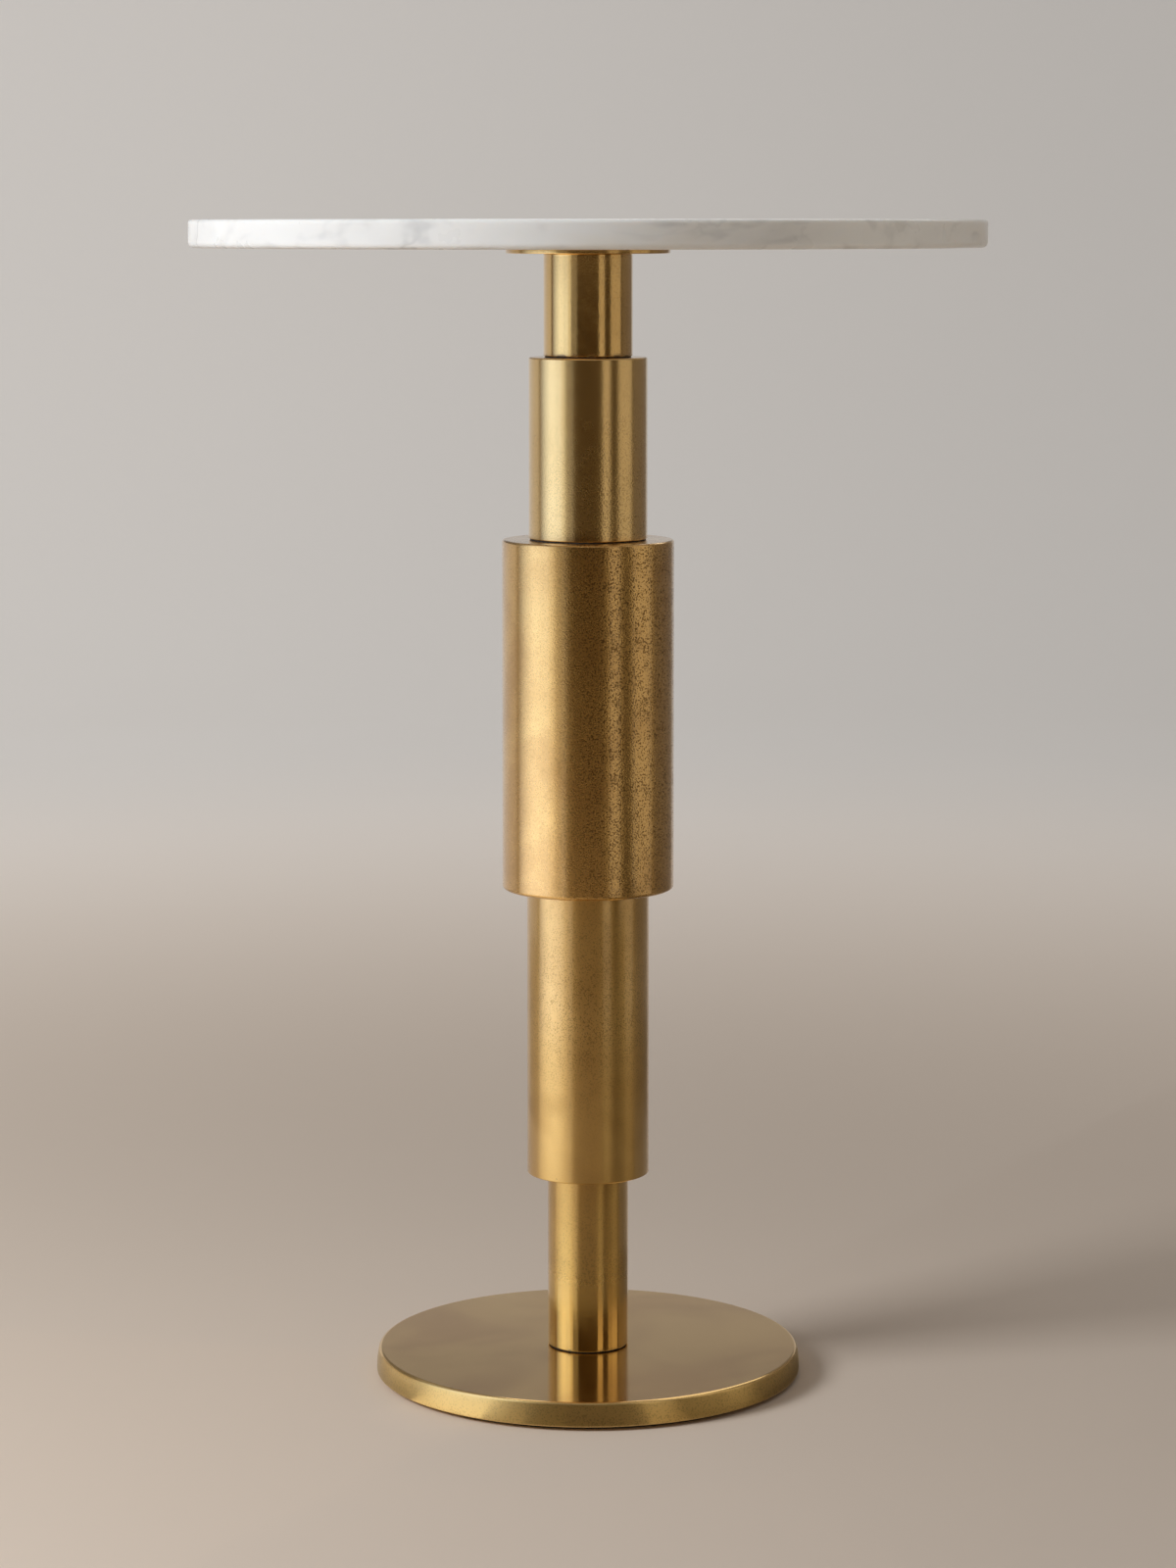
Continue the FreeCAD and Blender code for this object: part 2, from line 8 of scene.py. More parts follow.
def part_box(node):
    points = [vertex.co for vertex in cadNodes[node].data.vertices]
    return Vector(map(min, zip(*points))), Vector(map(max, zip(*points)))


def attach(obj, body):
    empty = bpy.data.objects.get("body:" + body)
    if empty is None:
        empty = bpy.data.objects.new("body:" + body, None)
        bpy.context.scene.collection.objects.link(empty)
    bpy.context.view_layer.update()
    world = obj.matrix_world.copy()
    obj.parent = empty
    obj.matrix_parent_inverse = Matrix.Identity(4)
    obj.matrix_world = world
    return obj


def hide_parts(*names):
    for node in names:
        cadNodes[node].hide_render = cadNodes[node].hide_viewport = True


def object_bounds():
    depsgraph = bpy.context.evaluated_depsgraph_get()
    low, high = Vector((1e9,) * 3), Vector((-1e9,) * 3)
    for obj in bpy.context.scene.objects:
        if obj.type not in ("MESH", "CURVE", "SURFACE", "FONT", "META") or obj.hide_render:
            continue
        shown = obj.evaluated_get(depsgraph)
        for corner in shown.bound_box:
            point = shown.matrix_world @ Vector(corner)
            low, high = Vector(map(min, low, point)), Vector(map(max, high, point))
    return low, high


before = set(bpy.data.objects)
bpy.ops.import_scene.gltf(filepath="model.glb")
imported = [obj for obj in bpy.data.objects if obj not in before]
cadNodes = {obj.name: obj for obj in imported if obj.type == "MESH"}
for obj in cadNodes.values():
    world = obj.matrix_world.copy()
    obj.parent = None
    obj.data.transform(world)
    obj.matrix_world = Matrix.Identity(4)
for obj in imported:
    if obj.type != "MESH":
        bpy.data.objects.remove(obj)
cadLow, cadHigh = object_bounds()
scene = bpy.context.scene
mm = 0.001
fullTurn = 2 * math.pi
print("frame loaded:", len(cadNodes), "CAD nodes")


# small helpers for shader trees

def addNode(tree, kind, inputs=None, **settings):
    made = tree.nodes.new(kind)
    for key, value in settings.items():
        setattr(made, key, value)
    for key, value in (inputs or {}).items():
        if isinstance(value, bpy.types.NodeSocket):
            tree.links.new(value, made.inputs[key])
        else:
            made.inputs[key].default_value = value
    return made


def reckon(tree, operation, *values):
    return addNode(tree, "ShaderNodeMath", dict(enumerate(values)), operation=operation).outputs[0]


def fade(tree, value, start, end, low=0.0, high=1.0):
    inputs = {"Value": value, "From Min": start, "From Max": end, "To Min": low, "To Max": high}
    return addNode(tree, "ShaderNodeMapRange", inputs, interpolation_type="SMOOTHSTEP").outputs[0]


def blendColour(tree, share, first, second):
    inputs = {0: share, 6: first, 7: second}  # the colour sockets of a Mix node
    return addNode(tree, "ShaderNodeMix", inputs, data_type="RGBA").outputs[2]


def alongRamp(tree, value, stops):
    ramp = addNode(tree, "ShaderNodeValToRGB", {0: value})
    points = ramp.color_ramp.elements
    while len(points) < len(stops):
        points.new(0.5)  # its place is set below
    for point, (place, amount) in zip(points, stops):
        point.position = place
        point.color = (amount, amount, amount, 1.0)
    return ramp.outputs[0]


def softNoise(tree, vector, size, detail=2.0, roughness=0.5, distortion=0.0):
    sizeVaries = isinstance(size, bpy.types.NodeSocket)
    scale = reckon(tree, "DIVIDE", 1.0, size) if sizeVaries else 1.0 / size
    inputs = {"Vector": vector, "Scale": scale, "Detail": detail, "Roughness": roughness,
              "Distortion": distortion}
    return addNode(tree, "ShaderNodeTexNoise", inputs).outputs[0]


def startGroup(name, inputs, outputs):
    group = bpy.data.node_groups.new(name, "ShaderNodeTree")
    for label, value in inputs.items():
        kind = "NodeSocketVector" if value is None else "NodeSocketFloat"
        socket = group.interface.new_socket(label, in_out="INPUT", socket_type=kind)
        if value is not None:
            socket.default_value = value
    for label in outputs:
        group.interface.new_socket(label, in_out="OUTPUT", socket_type="NodeSocketFloat")
    return group, group.nodes.new("NodeGroupInput").outputs, group.nodes.new("NodeGroupOutput").inputs


def placeGroup(tree, group, **inputs):
    return addNode(tree, "ShaderNodeGroup", inputs, node_tree=group).outputs


def startMaterial(name):
    material = bpy.data.materials.new(name)
    material.use_nodes = True
    tree = material.node_tree
    shader = tree.nodes["Principled BSDF"]
    return material, tree, shader, tree.nodes.new("ShaderNodeTexCoord").outputs["Object"]


# effects that several finishes share; the size of each noise comes from the material

pitPattern = {"raggedDetail": 1.0, "smallest": 0.6}
grainPattern = {"skinDetail": 0.6, "driftSize": 9.0, "driftDetail": 1.0, "driftShare": 0.25,
                "fleckEdge": 0.12}
cloudPattern = {
    "cloudNoise": (2.0, 0.55, 0.6), "cloudRange": (0.3, 0.75),  # detail, roughness, distortion
    "mottleSize": 0.16, "mottleNoise": (3.0, 0.6), "mottleRange": (0.35, 0.7),
}


def makePitGroup():
    # ragged casting pits: some cells of a Voronoi pattern hold one, 0 outside and 1 at its bottom
    given = {"Vector": None, "Cell": 0.001, "Reach": 0.3, "Share": 0.3}
    group, given, result = startGroup("castPits", given, ["Pits"])
    scale = reckon(group, "DIVIDE", 1.0, given["Cell"])
    inputs = {"Vector": given["Vector"], "Scale": scale, "Detail": pitPattern["raggedDetail"]}
    ragged = addNode(group, "ShaderNodeTexNoise", inputs)
    inputs = {0: ragged.outputs["Color"], 1: given["Cell"], 2: given["Vector"]}
    shifted = addNode(group, "ShaderNodeVectorMath", inputs, operation="MULTIPLY_ADD").outputs[0]
    cells = addNode(group, "ShaderNodeTexVoronoi", {"Vector": shifted, "Scale": scale})
    draw = addNode(group, "ShaderNodeSeparateColor", {0: cells.outputs["Color"]}).outputs
    chosen = reckon(group, "LESS_THAN", draw[0], given["Share"])
    size = fade(group, draw[1], 0.0, 1.0, pitPattern["smallest"], 1.0)
    reach = reckon(group, "MULTIPLY", given["Reach"], size)
    hollow = fade(group, cells.outputs["Distance"], reach, 0.0)
    group.links.new(reckon(group, "MULTIPLY", hollow, chosen), result["Pits"])
    return group


def makeGrainGroup():
    # skin of satin cast brass: the low spots of a fine noise stay dark, more of them in some drifts
    given = {"Vector": None, "Grain": 1.0 * mm, "Fleck Level": 0.42}
    group, given, result = startGroup("castGrain", given, ["Height", "Flecks"])
    skin = softNoise(group, given["Vector"], given["Grain"], grainPattern["skinDetail"])
    driftSize = reckon(group, "MULTIPLY", given["Grain"], grainPattern["driftSize"])
    drift = softNoise(group, given["Vector"], driftSize, grainPattern["driftDetail"])
    lowest = reckon(group, "SUBTRACT", given["Fleck Level"], grainPattern["driftShare"] / 2)
    level = reckon(group, "MULTIPLY_ADD", drift, grainPattern["driftShare"], lowest)
    flecks = fade(group, skin, level, reckon(group, "SUBTRACT", level, grainPattern["fleckEdge"]))
    group.links.new(skin, result["Height"])
    group.links.new(flecks, result["Flecks"])
    return group


def makeCloudGroup():
    # slow drifts of colour and gloss in handled brass
    given = {"Vector": None, "Size": 0.04}
    group, given, result = startGroup("patinaClouds", given, ["Cloud", "Mottle"])
    cloud = softNoise(group, given["Vector"], given["Size"], *cloudPattern["cloudNoise"])
    mottleSize = reckon(group, "MULTIPLY", given["Size"], cloudPattern["mottleSize"])
    mottle = softNoise(group, given["Vector"], mottleSize, *cloudPattern["mottleNoise"])
    group.links.new(fade(group, cloud, *cloudPattern["cloudRange"]), result["Cloud"])
    group.links.new(fade(group, mottle, *cloudPattern["mottleRange"]), result["Mottle"])
    return group


def makeEndGroup():
    # how far along a turned piece, and how near to its two ends
    given = {"Vector": None, "Low": 0.0, "High": 1.0, "Reach": 0.003}
    group, given, result = startGroup("pieceEnds", given, ["Along", "Low End", "High End"])
    height = addNode(group, "ShaderNodeSeparateXYZ", {0: given["Vector"]}).outputs["Z"]
    inputs = {"Value": height, "From Min": given["Low"], "From Max": given["High"]}
    group.links.new(addNode(group, "ShaderNodeMapRange", inputs).outputs[0], result["Along"])
    lowReach = reckon(group, "ADD", given["Low"], given["Reach"])
    highReach = reckon(group, "SUBTRACT", given["High"], given["Reach"])
    group.links.new(fade(group, height, lowReach, given["Low"]), result["Low End"])
    group.links.new(fade(group, height, highReach, given["High"]), result["High End"])
    return group


pitGroup = makePitGroup()
grainGroup = makeGrainGroup()
cloudGroup = makeCloudGroup()
endGroup = makeEndGroup()
print("shared effects:", [group.name for group in bpy.data.node_groups])


# brass: what every piece starts from, each then changes a few of these in its own "look"

castLook = {
    "clean": (0.80, 0.53, 0.185, 1.0), "aged": (0.64, 0.39, 0.115, 1.0),
    "pit": (0.16, 0.085, 0.03, 1.0), "grimeColour": (0.07, 0.045, 0.025, 1.0),
    "agedAlong": [(0.0, 0.5), (1.0, 0.5)], "cloudSize": 0.045, "cloudShare": 1.0,
    "rimReach": 2 * mm, "grime": 0.0, "grimeRough": 0.4,
    "grainAlong": [(0.0, 0.5), (1.0, 0.5)], "grainSize": 0.8 * mm, "grainDepth": 0.11 * mm,
    # the next line's left-side keys thin the grain where the light falls: a painted highlight
    "litSideTo": -0.035, "litSideFrom": -0.005, "litSideGrain": 0.7,
    "fleckLevel": 0.47, "fleckDark": 0.7, "fleckRough": 0.05, "fleckDepth": 0.015 * mm,
    "strayCell": 11 * mm, "strayReach": 0.045, "strayShare": 0.25, "strayDepth": 0.06 * mm,
    "roughAlong": [(0.0, 0.22), (1.0, 0.22)], "roughDrift": 0.04, "brush": 0.85, "brushTurn": 0.25,
    "lacquer": 1.0, "lacquerRoughness": 0.15, "lacquerIndex": 1.6,
}


def brassFinish(name, low, high, changes):
    look = {**castLook, **changes}
    material, tree, shader, place = startMaterial(name)
    ends = placeGroup(tree, endGroup, Vector=place, Low=low, High=high, Reach=look["rimReach"])
    clouds = placeGroup(tree, cloudGroup, Vector=place, Size=look["cloudSize"])
    inputs = {"Vector": place, "Grain": look["grainSize"], "Fleck Level": look["fleckLevel"]}
    grain = placeGroup(tree, grainGroup, **inputs)
    inputs = {"Cell": look["strayCell"], "Reach": look["strayReach"], "Share": look["strayShare"]}
    stray = placeGroup(tree, pitGroup, Vector=place, **inputs)
    # grain is thinned towards the polished rims, and on the left side of each piece, where the light falls:
    # the fewer dark flecks there are a painted highlight
    side = addNode(tree, "ShaderNodeSeparateXYZ", {0: place}).outputs["X"]
    litSide = fade(tree, side, look["litSideTo"], look["litSideFrom"], look["litSideGrain"], 1.0)
    cover = reckon(tree, "MULTIPLY", alongRamp(tree, ends["Along"], look["grainAlong"]), litSide)
    rims = reckon(tree, "MAXIMUM", ends["Low End"], ends["High End"])
    cover = reckon(tree, "MULTIPLY", cover, reckon(tree, "SUBTRACT", 1.0, rims))
    flecks = reckon(tree, "MULTIPLY", grain["Flecks"], cover)
    grime = reckon(tree, "MULTIPLY", clouds["Mottle"], look["grime"])
    grime = reckon(tree, "MULTIPLY", ends["Low End"], grime)
    # colour
    clouded = fade(tree, clouds["Cloud"], 0.0, 1.0, 1.0 - look["cloudShare"], 1.0)
    aged = reckon(tree, "MULTIPLY", clouded, alongRamp(tree, ends["Along"], look["agedAlong"]))
    colour = blendColour(tree, aged, look["clean"], look["aged"])
    darkened = reckon(tree, "MULTIPLY", flecks, look["fleckDark"])
    colour = blendColour(tree, darkened, colour, look["pit"])
    colour = blendColour(tree, stray["Pits"], colour, look["pit"])
    colour = blendColour(tree, grime, colour, look["grimeColour"])
    tree.links.new(colour, shader.inputs["Base Color"])
    # gloss
    rough = alongRamp(tree, ends["Along"], look["roughAlong"])
    rough = reckon(tree, "MULTIPLY_ADD", clouds["Mottle"], look["roughDrift"], rough)
    rough = reckon(tree, "MULTIPLY_ADD", aged, look["roughDrift"], rough)
    rough = reckon(tree, "MULTIPLY_ADD", flecks, look["fleckRough"], rough)
    rough = reckon(tree, "MULTIPLY_ADD", grime, look["grimeRough"], rough)
    tree.links.new(rough, shader.inputs["Roughness"])
    shader.inputs["Metallic"].default_value = 1.0
    # relief, in millimetres
    depth = reckon(tree, "MULTIPLY", cover, look["grainDepth"] / mm)
    relief = reckon(tree, "MULTIPLY", grain["Height"], depth)
    relief = reckon(tree, "MULTIPLY_ADD", flecks, -look["fleckDepth"] / mm, relief)
    relief = reckon(tree, "MULTIPLY_ADD", stray["Pits"], -look["strayDepth"] / mm, relief)
    bump = addNode(tree, "ShaderNodeBump", {"Distance": mm, "Height": relief})
    tree.links.new(bump.outputs[0], shader.inputs["Normal"])
    # lacquer, worn off the flecks
    coated = reckon(tree, "MULTIPLY", reckon(tree, "SUBTRACT", 1.0, flecks), look["lacquer"])
    tree.links.new(coated, shader.inputs["Coat Weight"])
    shader.inputs["Coat Roughness"].default_value = look["lacquerRoughness"]
    shader.inputs["Coat IOR"].default_value = look["lacquerIndex"]
    # turning marks run round the axis, so gloss spreads along it
    inputs = {0: (0.0, 0.0, 1.0), 1: place}
    roundAxis = addNode(tree, "ShaderNodeVectorMath", inputs, operation="CROSS_PRODUCT").outputs[0]
    tree.links.new(roundAxis, shader.inputs["Tangent"])
    shader.inputs["Anisotropic"].default_value = look["brush"]
    shader.inputs["Anisotropic Rotation"].default_value = look["brushTurn"]
    return material


# stone, rubber and steel: noises as size, detail, roughness; ranges as from, to, low, high

marbleLook = {
    "white": (0.84, 0.83, 0.81, 1.0), "cloud": (0.73, 0.72, 0.71, 1.0),
    "smudge": (0.62, 0.615, 0.61, 1.0), "vein": (0.40, 0.395, 0.39, 1.0), "warm": (0.78, 0.71, 0.60, 1.0),
    "turn": (0.0, 0.0, 0.6), "stretch": (1.0, 1.0, 2.2), "warp": 0.10, "warpSize": 0.18,
    "veinStretch": (1.0, 2.2, 1.0), "veinNoise": (0.15, 5.0, 0.55), "veinMiddle": 0.5,
    "veinRange": (0.016, 0.0, 0.0, 0.6), "haloRange": (0.10, 0.0, 0.0, 0.35),
    "patchNoise": (0.12, 2.0), "patchRange": (0.42, 0.62),
    "cloudNoise": (0.20, 2.0), "cloudRange": (0.4, 0.7, 0.0, 0.5),
    "smudgeNoise": (0.022, 2.0), "smudgeRange": (0.52, 0.74, 0.0, 0.65),
    "warmNoise": (0.07, 3.0, 0.6), "warmRange": (0.55, 0.75, 0.0, 0.3),
    "polishNoise": (0.02, 3.0), "polishRange": (0.3, 0.7), "roughness": 0.27, "roughDrift": 0.06,
    "soak": 0.5, "soakDepth": 4 * mm, "soakReach": (1.0, 0.9, 0.8),
}


def marbleFinish():
    material, tree, shader, place = startMaterial("polishedMarble")
    look = marbleLook
    inputs = {"Vector": place, "Rotation": look["turn"], "Scale": look["stretch"]}
    turned = addNode(tree, "ShaderNodeMapping", inputs).outputs[0]
    warp = addNode(tree, "ShaderNodeTexNoise", {"Vector": turned, "Scale": 1.0 / look["warpSize"]})
    inputs = {0: warp.outputs["Color"], 1: (look["warp"],) * 3, 2: turned}
    warped = addNode(tree, "ShaderNodeVectorMath", inputs, operation="MULTIPLY_ADD").outputs[0]
    inputs = {"Vector": warped, "Scale": look["veinStretch"]}
    along = addNode(tree, "ShaderNodeMapping", inputs).outputs[0]
    # veins run where a noise field crosses its middle, and fade in and out by patches
    ridge = softNoise(tree, along, *look["veinNoise"])
    nearLine = reckon(tree, "ABSOLUTE", reckon(tree, "SUBTRACT", ridge, look["veinMiddle"]))
    patch = fade(tree, softNoise(tree, turned, *look["patchNoise"]), *look["patchRange"])
    vein = reckon(tree, "MULTIPLY", fade(tree, nearLine, *look["veinRange"]), patch)
    halo = reckon(tree, "MULTIPLY", fade(tree, nearLine, *look["haloRange"]), patch)
    cloud = fade(tree, softNoise(tree, warped, *look["cloudNoise"]), *look["cloudRange"])
    smudge = fade(tree, softNoise(tree, warped, *look["smudgeNoise"]), *look["smudgeRange"])
    warm = fade(tree, softNoise(tree, warped, *look["warmNoise"]), *look["warmRange"])
    colour = blendColour(tree, cloud, look["white"], look["cloud"])
    colour = blendColour(tree, warm, colour, look["warm"])
    colour = blendColour(tree, smudge, colour, look["smudge"])
    colour = blendColour(tree, halo, colour, look["smudge"])
    colour = blendColour(tree, vein, colour, look["vein"])
    tree.links.new(colour, shader.inputs["Base Color"])
    polish = softNoise(tree, place, *look["polishNoise"])
    dull = look["roughness"] + look["roughDrift"]
    rough = fade(tree, polish, *look["polishRange"], look["roughness"], dull)
    tree.links.new(rough, shader.inputs["Roughness"])
    # light soaks a few millimetres into the stone
    shader.inputs["Subsurface Weight"].default_value = look["soak"]
    shader.inputs["Subsurface Scale"].default_value = look["soakDepth"]
    shader.inputs["Subsurface Radius"].default_value = look["soakReach"]
    return material


rubberLook = {"grainDetail": 3.0, "roughRange": (0.3, 0.7, 0.62, 0.85), "dustNoise": (0.012, 3.0, 0.6),
              "dustRange": (0.5, 0.8, 0.0, 0.5), "dustPale": 0.05, "dustGain": 2.0}
padLook = {"colour": (0.022, 0.021, 0.020, 1.0), "grainSize": 0.5 * mm, "grainDepth": 0.05 * mm}
gasketLook = {"colour": (0.018, 0.017, 0.016, 1.0), "grainSize": 0.3 * mm, "grainDepth": 0.02 * mm}


def rubberFinish(name, changes):
    look = {**rubberLook, **changes}
    material, tree, shader, place = startMaterial(name)
    grain = softNoise(tree, place, look["grainSize"], look["grainDetail"])
    dust = fade(tree, softNoise(tree, place, *look["dustNoise"]), *look["dustRange"])
    dusty = tuple(look["dustPale"] + look["dustGain"] * part for part in look["colour"][:3]) + (1.0,)
    tree.links.new(blendColour(tree, dust, look["colour"], dusty), shader.inputs["Base Color"])
    tree.links.new(fade(tree, grain, *look["roughRange"]), shader.inputs["Roughness"])
    bump = addNode(tree, "ShaderNodeBump", {"Distance": look["grainDepth"], "Height": grain})
    tree.links.new(bump.outputs[0], shader.inputs["Normal"])
    return material


steelLook = {"bright": (0.60, 0.61, 0.62, 1.0), "dull": (0.46, 0.47, 0.49, 1.0),
             "spangleNoise": (2.5 * mm, 2.0), "spangleRange": (0.35, 0.65),
             "wearNoise": (0.7 * mm, 3.0), "roughRange": (0.3, 0.7, 0.26, 0.42), "wearDepth": 0.006 * mm}


def steelFinish():
    material, tree, shader, place = startMaterial("zincSteel")
    spangle = softNoise(tree, place, *steelLook["spangleNoise"])
    wear = softNoise(tree, place, *steelLook["wearNoise"])
    patchy = fade(tree, spangle, *steelLook["spangleRange"])
    colour = blendColour(tree, patchy, steelLook["bright"], steelLook["dull"])
    tree.links.new(colour, shader.inputs["Base Color"])
    tree.links.new(fade(tree, wear, *steelLook["roughRange"]), shader.inputs["Roughness"])
    bump = addNode(tree, "ShaderNodeBump", {"Distance": steelLook["wearDepth"], "Height": wear})
    tree.links.new(bump.outputs[0], shader.inputs["Normal"])
    shader.inputs["Metallic"].default_value = 1.0
    return material


# turned pieces: a few corners (radius, height, rounding), spun about the column's axis

turning = {"outsideFrom": 0.97, "mergeReach": 0.001 * mm, "sharpAngle": math.radians(35)}
castWave = {"depth": 0.06 * mm, "size": 0.03, "skin": 1.2 * mm, "seed": 0.0}
rodHole = 5.5 * mm
cutter = {"steps": 32, "clear": 1 * mm}


def turnCorners(corners, steps, roundSegments=6, spacing=None, closed=True):
    shape = bmesh.new()
    points = [shape.verts.new((radius, 0.0, height)) for radius, height, _ in corners]
    last = len(points) if closed else len(points) - 1
    for index in range(last):
        shape.edges.new((points[index], points[(index + 1) % len(points)]))
    for point, (_, _, ease) in zip(points, corners):
        if ease:
            bmesh.ops.bevel(shape, geom=[point], offset=ease, offset_type="OFFSET",
                            segments=roundSegments, profile=0.5, affect="VERTICES", material=-1)
    # rings along the outside wall, for the waves and for even shading
    widest = max(radius for radius, _, _ in corners)
    for edge in shape.edges[:]:
        outside = min(point.co.x for point in edge.verts) > turning["outsideFrom"] * widest
        cuts = int(edge.calc_length() / spacing) if spacing and outside else 0
        if cuts:
            bmesh.ops.subdivide_edges(shape, edges=[edge], cuts=cuts)
    bmesh.ops.spin(shape, geom=shape.verts[:] + shape.edges[:], cent=(0, 0, 0), axis=(0, 0, 1),
                   angle=fullTurn, steps=steps, use_merge=True)
    bmesh.ops.remove_doubles(shape, verts=shape.verts, dist=turning["mergeReach"])
    bmesh.ops.recalc_face_normals(shape, faces=shape.faces)
    return shape


def castWaves(shape, outer, changes):
    # hand-finished castings are never quite round; the waves only go inwards, so the size stays
    waves = {**castWave, **changes}
    for point in shape.verts:
        radius = point.co.xy.length
        if radius < outer - waves["skin"]:
            continue
        drift = noise.noise(point.co / waves["size"] + Vector((waves["seed"], 0.0, 0.0)))
        shrink = 1.0 - waves["depth"] * (0.5 + 0.5 * drift) / radius
        point.co.x *= shrink
        point.co.y *= shrink


def finishPiece(shape, name, material, slot, *replaced):
    mesh = bpy.data.meshes.new(name)
    shape.to_mesh(mesh)
    shape.free()
    mesh.shade_smooth()
    mesh.set_sharp_from_angle(angle=turning["sharpAngle"])
    mesh.materials.append(material)
    piece = bpy.data.objects.new(name, mesh)
    scene.collection.objects.link(piece)
    level = piece.modifiers.new("evenNormals", "WEIGHTED_NORMAL")
    level.keep_sharp = True
    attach(piece, "root")
    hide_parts(*replaced)
    print("piece", name, "faces", len(mesh.polygons))
    return piece


def cutAway(piece, shape):
    # takes the shape out of the piece and throws it away
    mesh = bpy.data.meshes.new("cutter")
    shape.to_mesh(mesh)
    shape.free()
    tool = bpy.data.objects.new("cutter", mesh)
    scene.collection.objects.link(tool)
    cut = piece.modifiers.new("cut", "BOOLEAN")
    cut.operation = "DIFFERENCE"
    cut.solver = "EXACT"
    cut.object = tool
    bpy.context.view_layer.update()
    depsgraph = bpy.context.evaluated_depsgraph_get()
    piece.modifiers["evenNormals"].show_viewport = False
    depsgraph.update()
    done = bpy.data.meshes.new_from_object(piece.evaluated_get(depsgraph), depsgraph=depsgraph)
    piece.modifiers.remove(cut)
    piece.modifiers["evenNormals"].show_viewport = True
    piece.data = done
    bpy.data.objects.remove(tool)


def reachOf(node):
    low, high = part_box(node)
    return high.x, low.z, high.z


def around(count, radius):
    return [Matrix.Rotation(fullTurn * index / count, 4, "Z") @ Matrix.Translation((radius, 0, 0))
            for index in range(count)]


def repeated(corners, places):
    # the same small turned shape at several places
    together = bmesh.new()
    for place in places:
        single = turnCorners(corners, cutter["steps"], closed=False)
        single.transform(place)
        mesh = bpy.data.meshes.new("single")
        single.to_mesh(mesh)
        single.free()
        together.from_mesh(mesh)
        bpy.data.meshes.remove(mesh)
    return together


# marble top

top = {"steps": 384, "roundSegments": 8, "spacing": 0.02, "upperRound": 2 * mm, "lowerRound": 3 * mm,
       "insertHole": 4.1 * mm, "insertDepth": 9.3 * mm, "insertCircle": 32 * mm, "insertCount": 4}


def buildTop():
    outer, low, high = reachOf("marble_top")
    corners = [(0.0, low, 0.0), (outer, low, top["lowerRound"]),
               (outer, high, top["upperRound"]), (0.0, high, 0.0)]
    slab = turnCorners(corners, top["steps"], top["roundSegments"], top["spacing"], closed=False)
    piece = finishPiece(slab, "marbleSlab", marbleFinish(), "marble", "marble_top")
    start, end = low - cutter["clear"], low + top["insertDepth"]
    wide = top["insertHole"]
    hole = [(0.0, start, 0.0), (wide, start, 0.0), (wide, end, 0.0), (0.0, end, 0.0)]
    cutAway(piece, repeated(hole, around(top["insertCount"], top["insertCircle"])))
    return piece


# flange under the top

flange = {"steps": 192, "roundSegments": 5, "spacing": 4 * mm, "round": 0.5 * mm, "bore": 13.05 * mm,
          "screwCircle": 32 * mm, "screwCount": 4, "headRadius": 4.0 * mm, "holeRadius": 2.25 * mm,
          "look": {"rimReach": 0.2 * mm, "grainAlong": [(0.0, 0.2), (1.0, 0.2)],
                   "agedAlong": [(0.0, 1.0), (1.0, 1.0)], "roughAlong": [(0.0, 0.18), (1.0, 0.18)],
                   "roughDrift": 0.02, "brush": 0.6, "strayShare": 0.1}}


def buildFlange():
    outer, low, high = reachOf("top_flange")
    corners = [(flange["bore"], low, 0.0), (outer, low, flange["round"]),
               (outer, high, flange["round"]), (flange["bore"], high, 0.0)]
    shape = turnCorners(corners, flange["steps"], flange["roundSegments"], flange["spacing"])
    material = brassFinish("flangeBrass", low, high, flange["look"])
    piece = finishPiece(shape, "topFlange", material, "plate_brass", "top_flange")
    start, end = low - cutter["clear"], high + cutter["clear"]
    head, narrow = flange["headRadius"], flange["holeRadius"]
    taper = head - narrow
    hole = [(0.0, start, 0.0), (head, start, 0.0), (head, low, 0.0),
            (narrow, low + taper, 0.0), (narrow, end, 0.0), (0.0, end, 0.0)]
    cutAway(piece, repeated(hole, around(flange["screwCount"], flange["screwCircle"])))


# neck and foot, the two plain tubes

neck = {"steps": 192, "roundSegments": 5, "spacing": 4 * mm, "wall": 3 * mm, "round": 0.6 * mm,
        "waves": {"seed": 1.0, "depth": 0.03 * mm},
        "look": {"grainAlong": [(0.0, 0.3), (0.5, 0.3), (1.0, 0.4)], "agedAlong": [(0.0, 0.5), (1.0, 0.3)],
                 "litSideTo": -0.01, "litSideFrom": 0.006, "litSideGrain": 0.3, "strayShare": 0.4,
                 "roughAlong": [(0.0, 0.16), (1.0, 0.16)], "grime": 0.8}}
foot = {"steps": 192, "roundSegments": 5, "spacing": 4 * mm, "wall": 3 * mm, "round": 0.6 * mm,
        "waves": {"seed": 5.0, "depth": 0.03 * mm},
        "look": {"clean": (0.95, 0.67, 0.225, 1.0), "cloudShare": 0.4,
                 "grainAlong": [(0.0, 0.05), (0.3, 0.1), (0.45, 0.35), (1.0, 0.15)],
                 "agedAlong": [(0.0, 0.0), (0.25, 0.15), (0.5, 0.75), (1.0, 0.8)],
                 "roughAlong": [(0.0, 0.11), (0.2, 0.13), (0.5, 0.28), (1.0, 0.28)],
                 "brush": 0.9, "strayShare": 0.4, "grime": 0.8}}


def buildTube(tube, node, name, finish):
    outer, low, high = reachOf(node)
    bore = outer - tube["wall"]
    corners = [(bore, low, 0.0), (outer, low, tube["round"]), (outer, high, tube["round"]), (bore, high, 0.0)]
    shape = turnCorners(corners, tube["steps"], tube["roundSegments"], tube["spacing"])
    castWaves(shape, outer, tube["waves"])
    finishPiece(shape, name, brassFinish(finish, low, high, tube["look"]), "cast_brass", node)


# upper sleeve

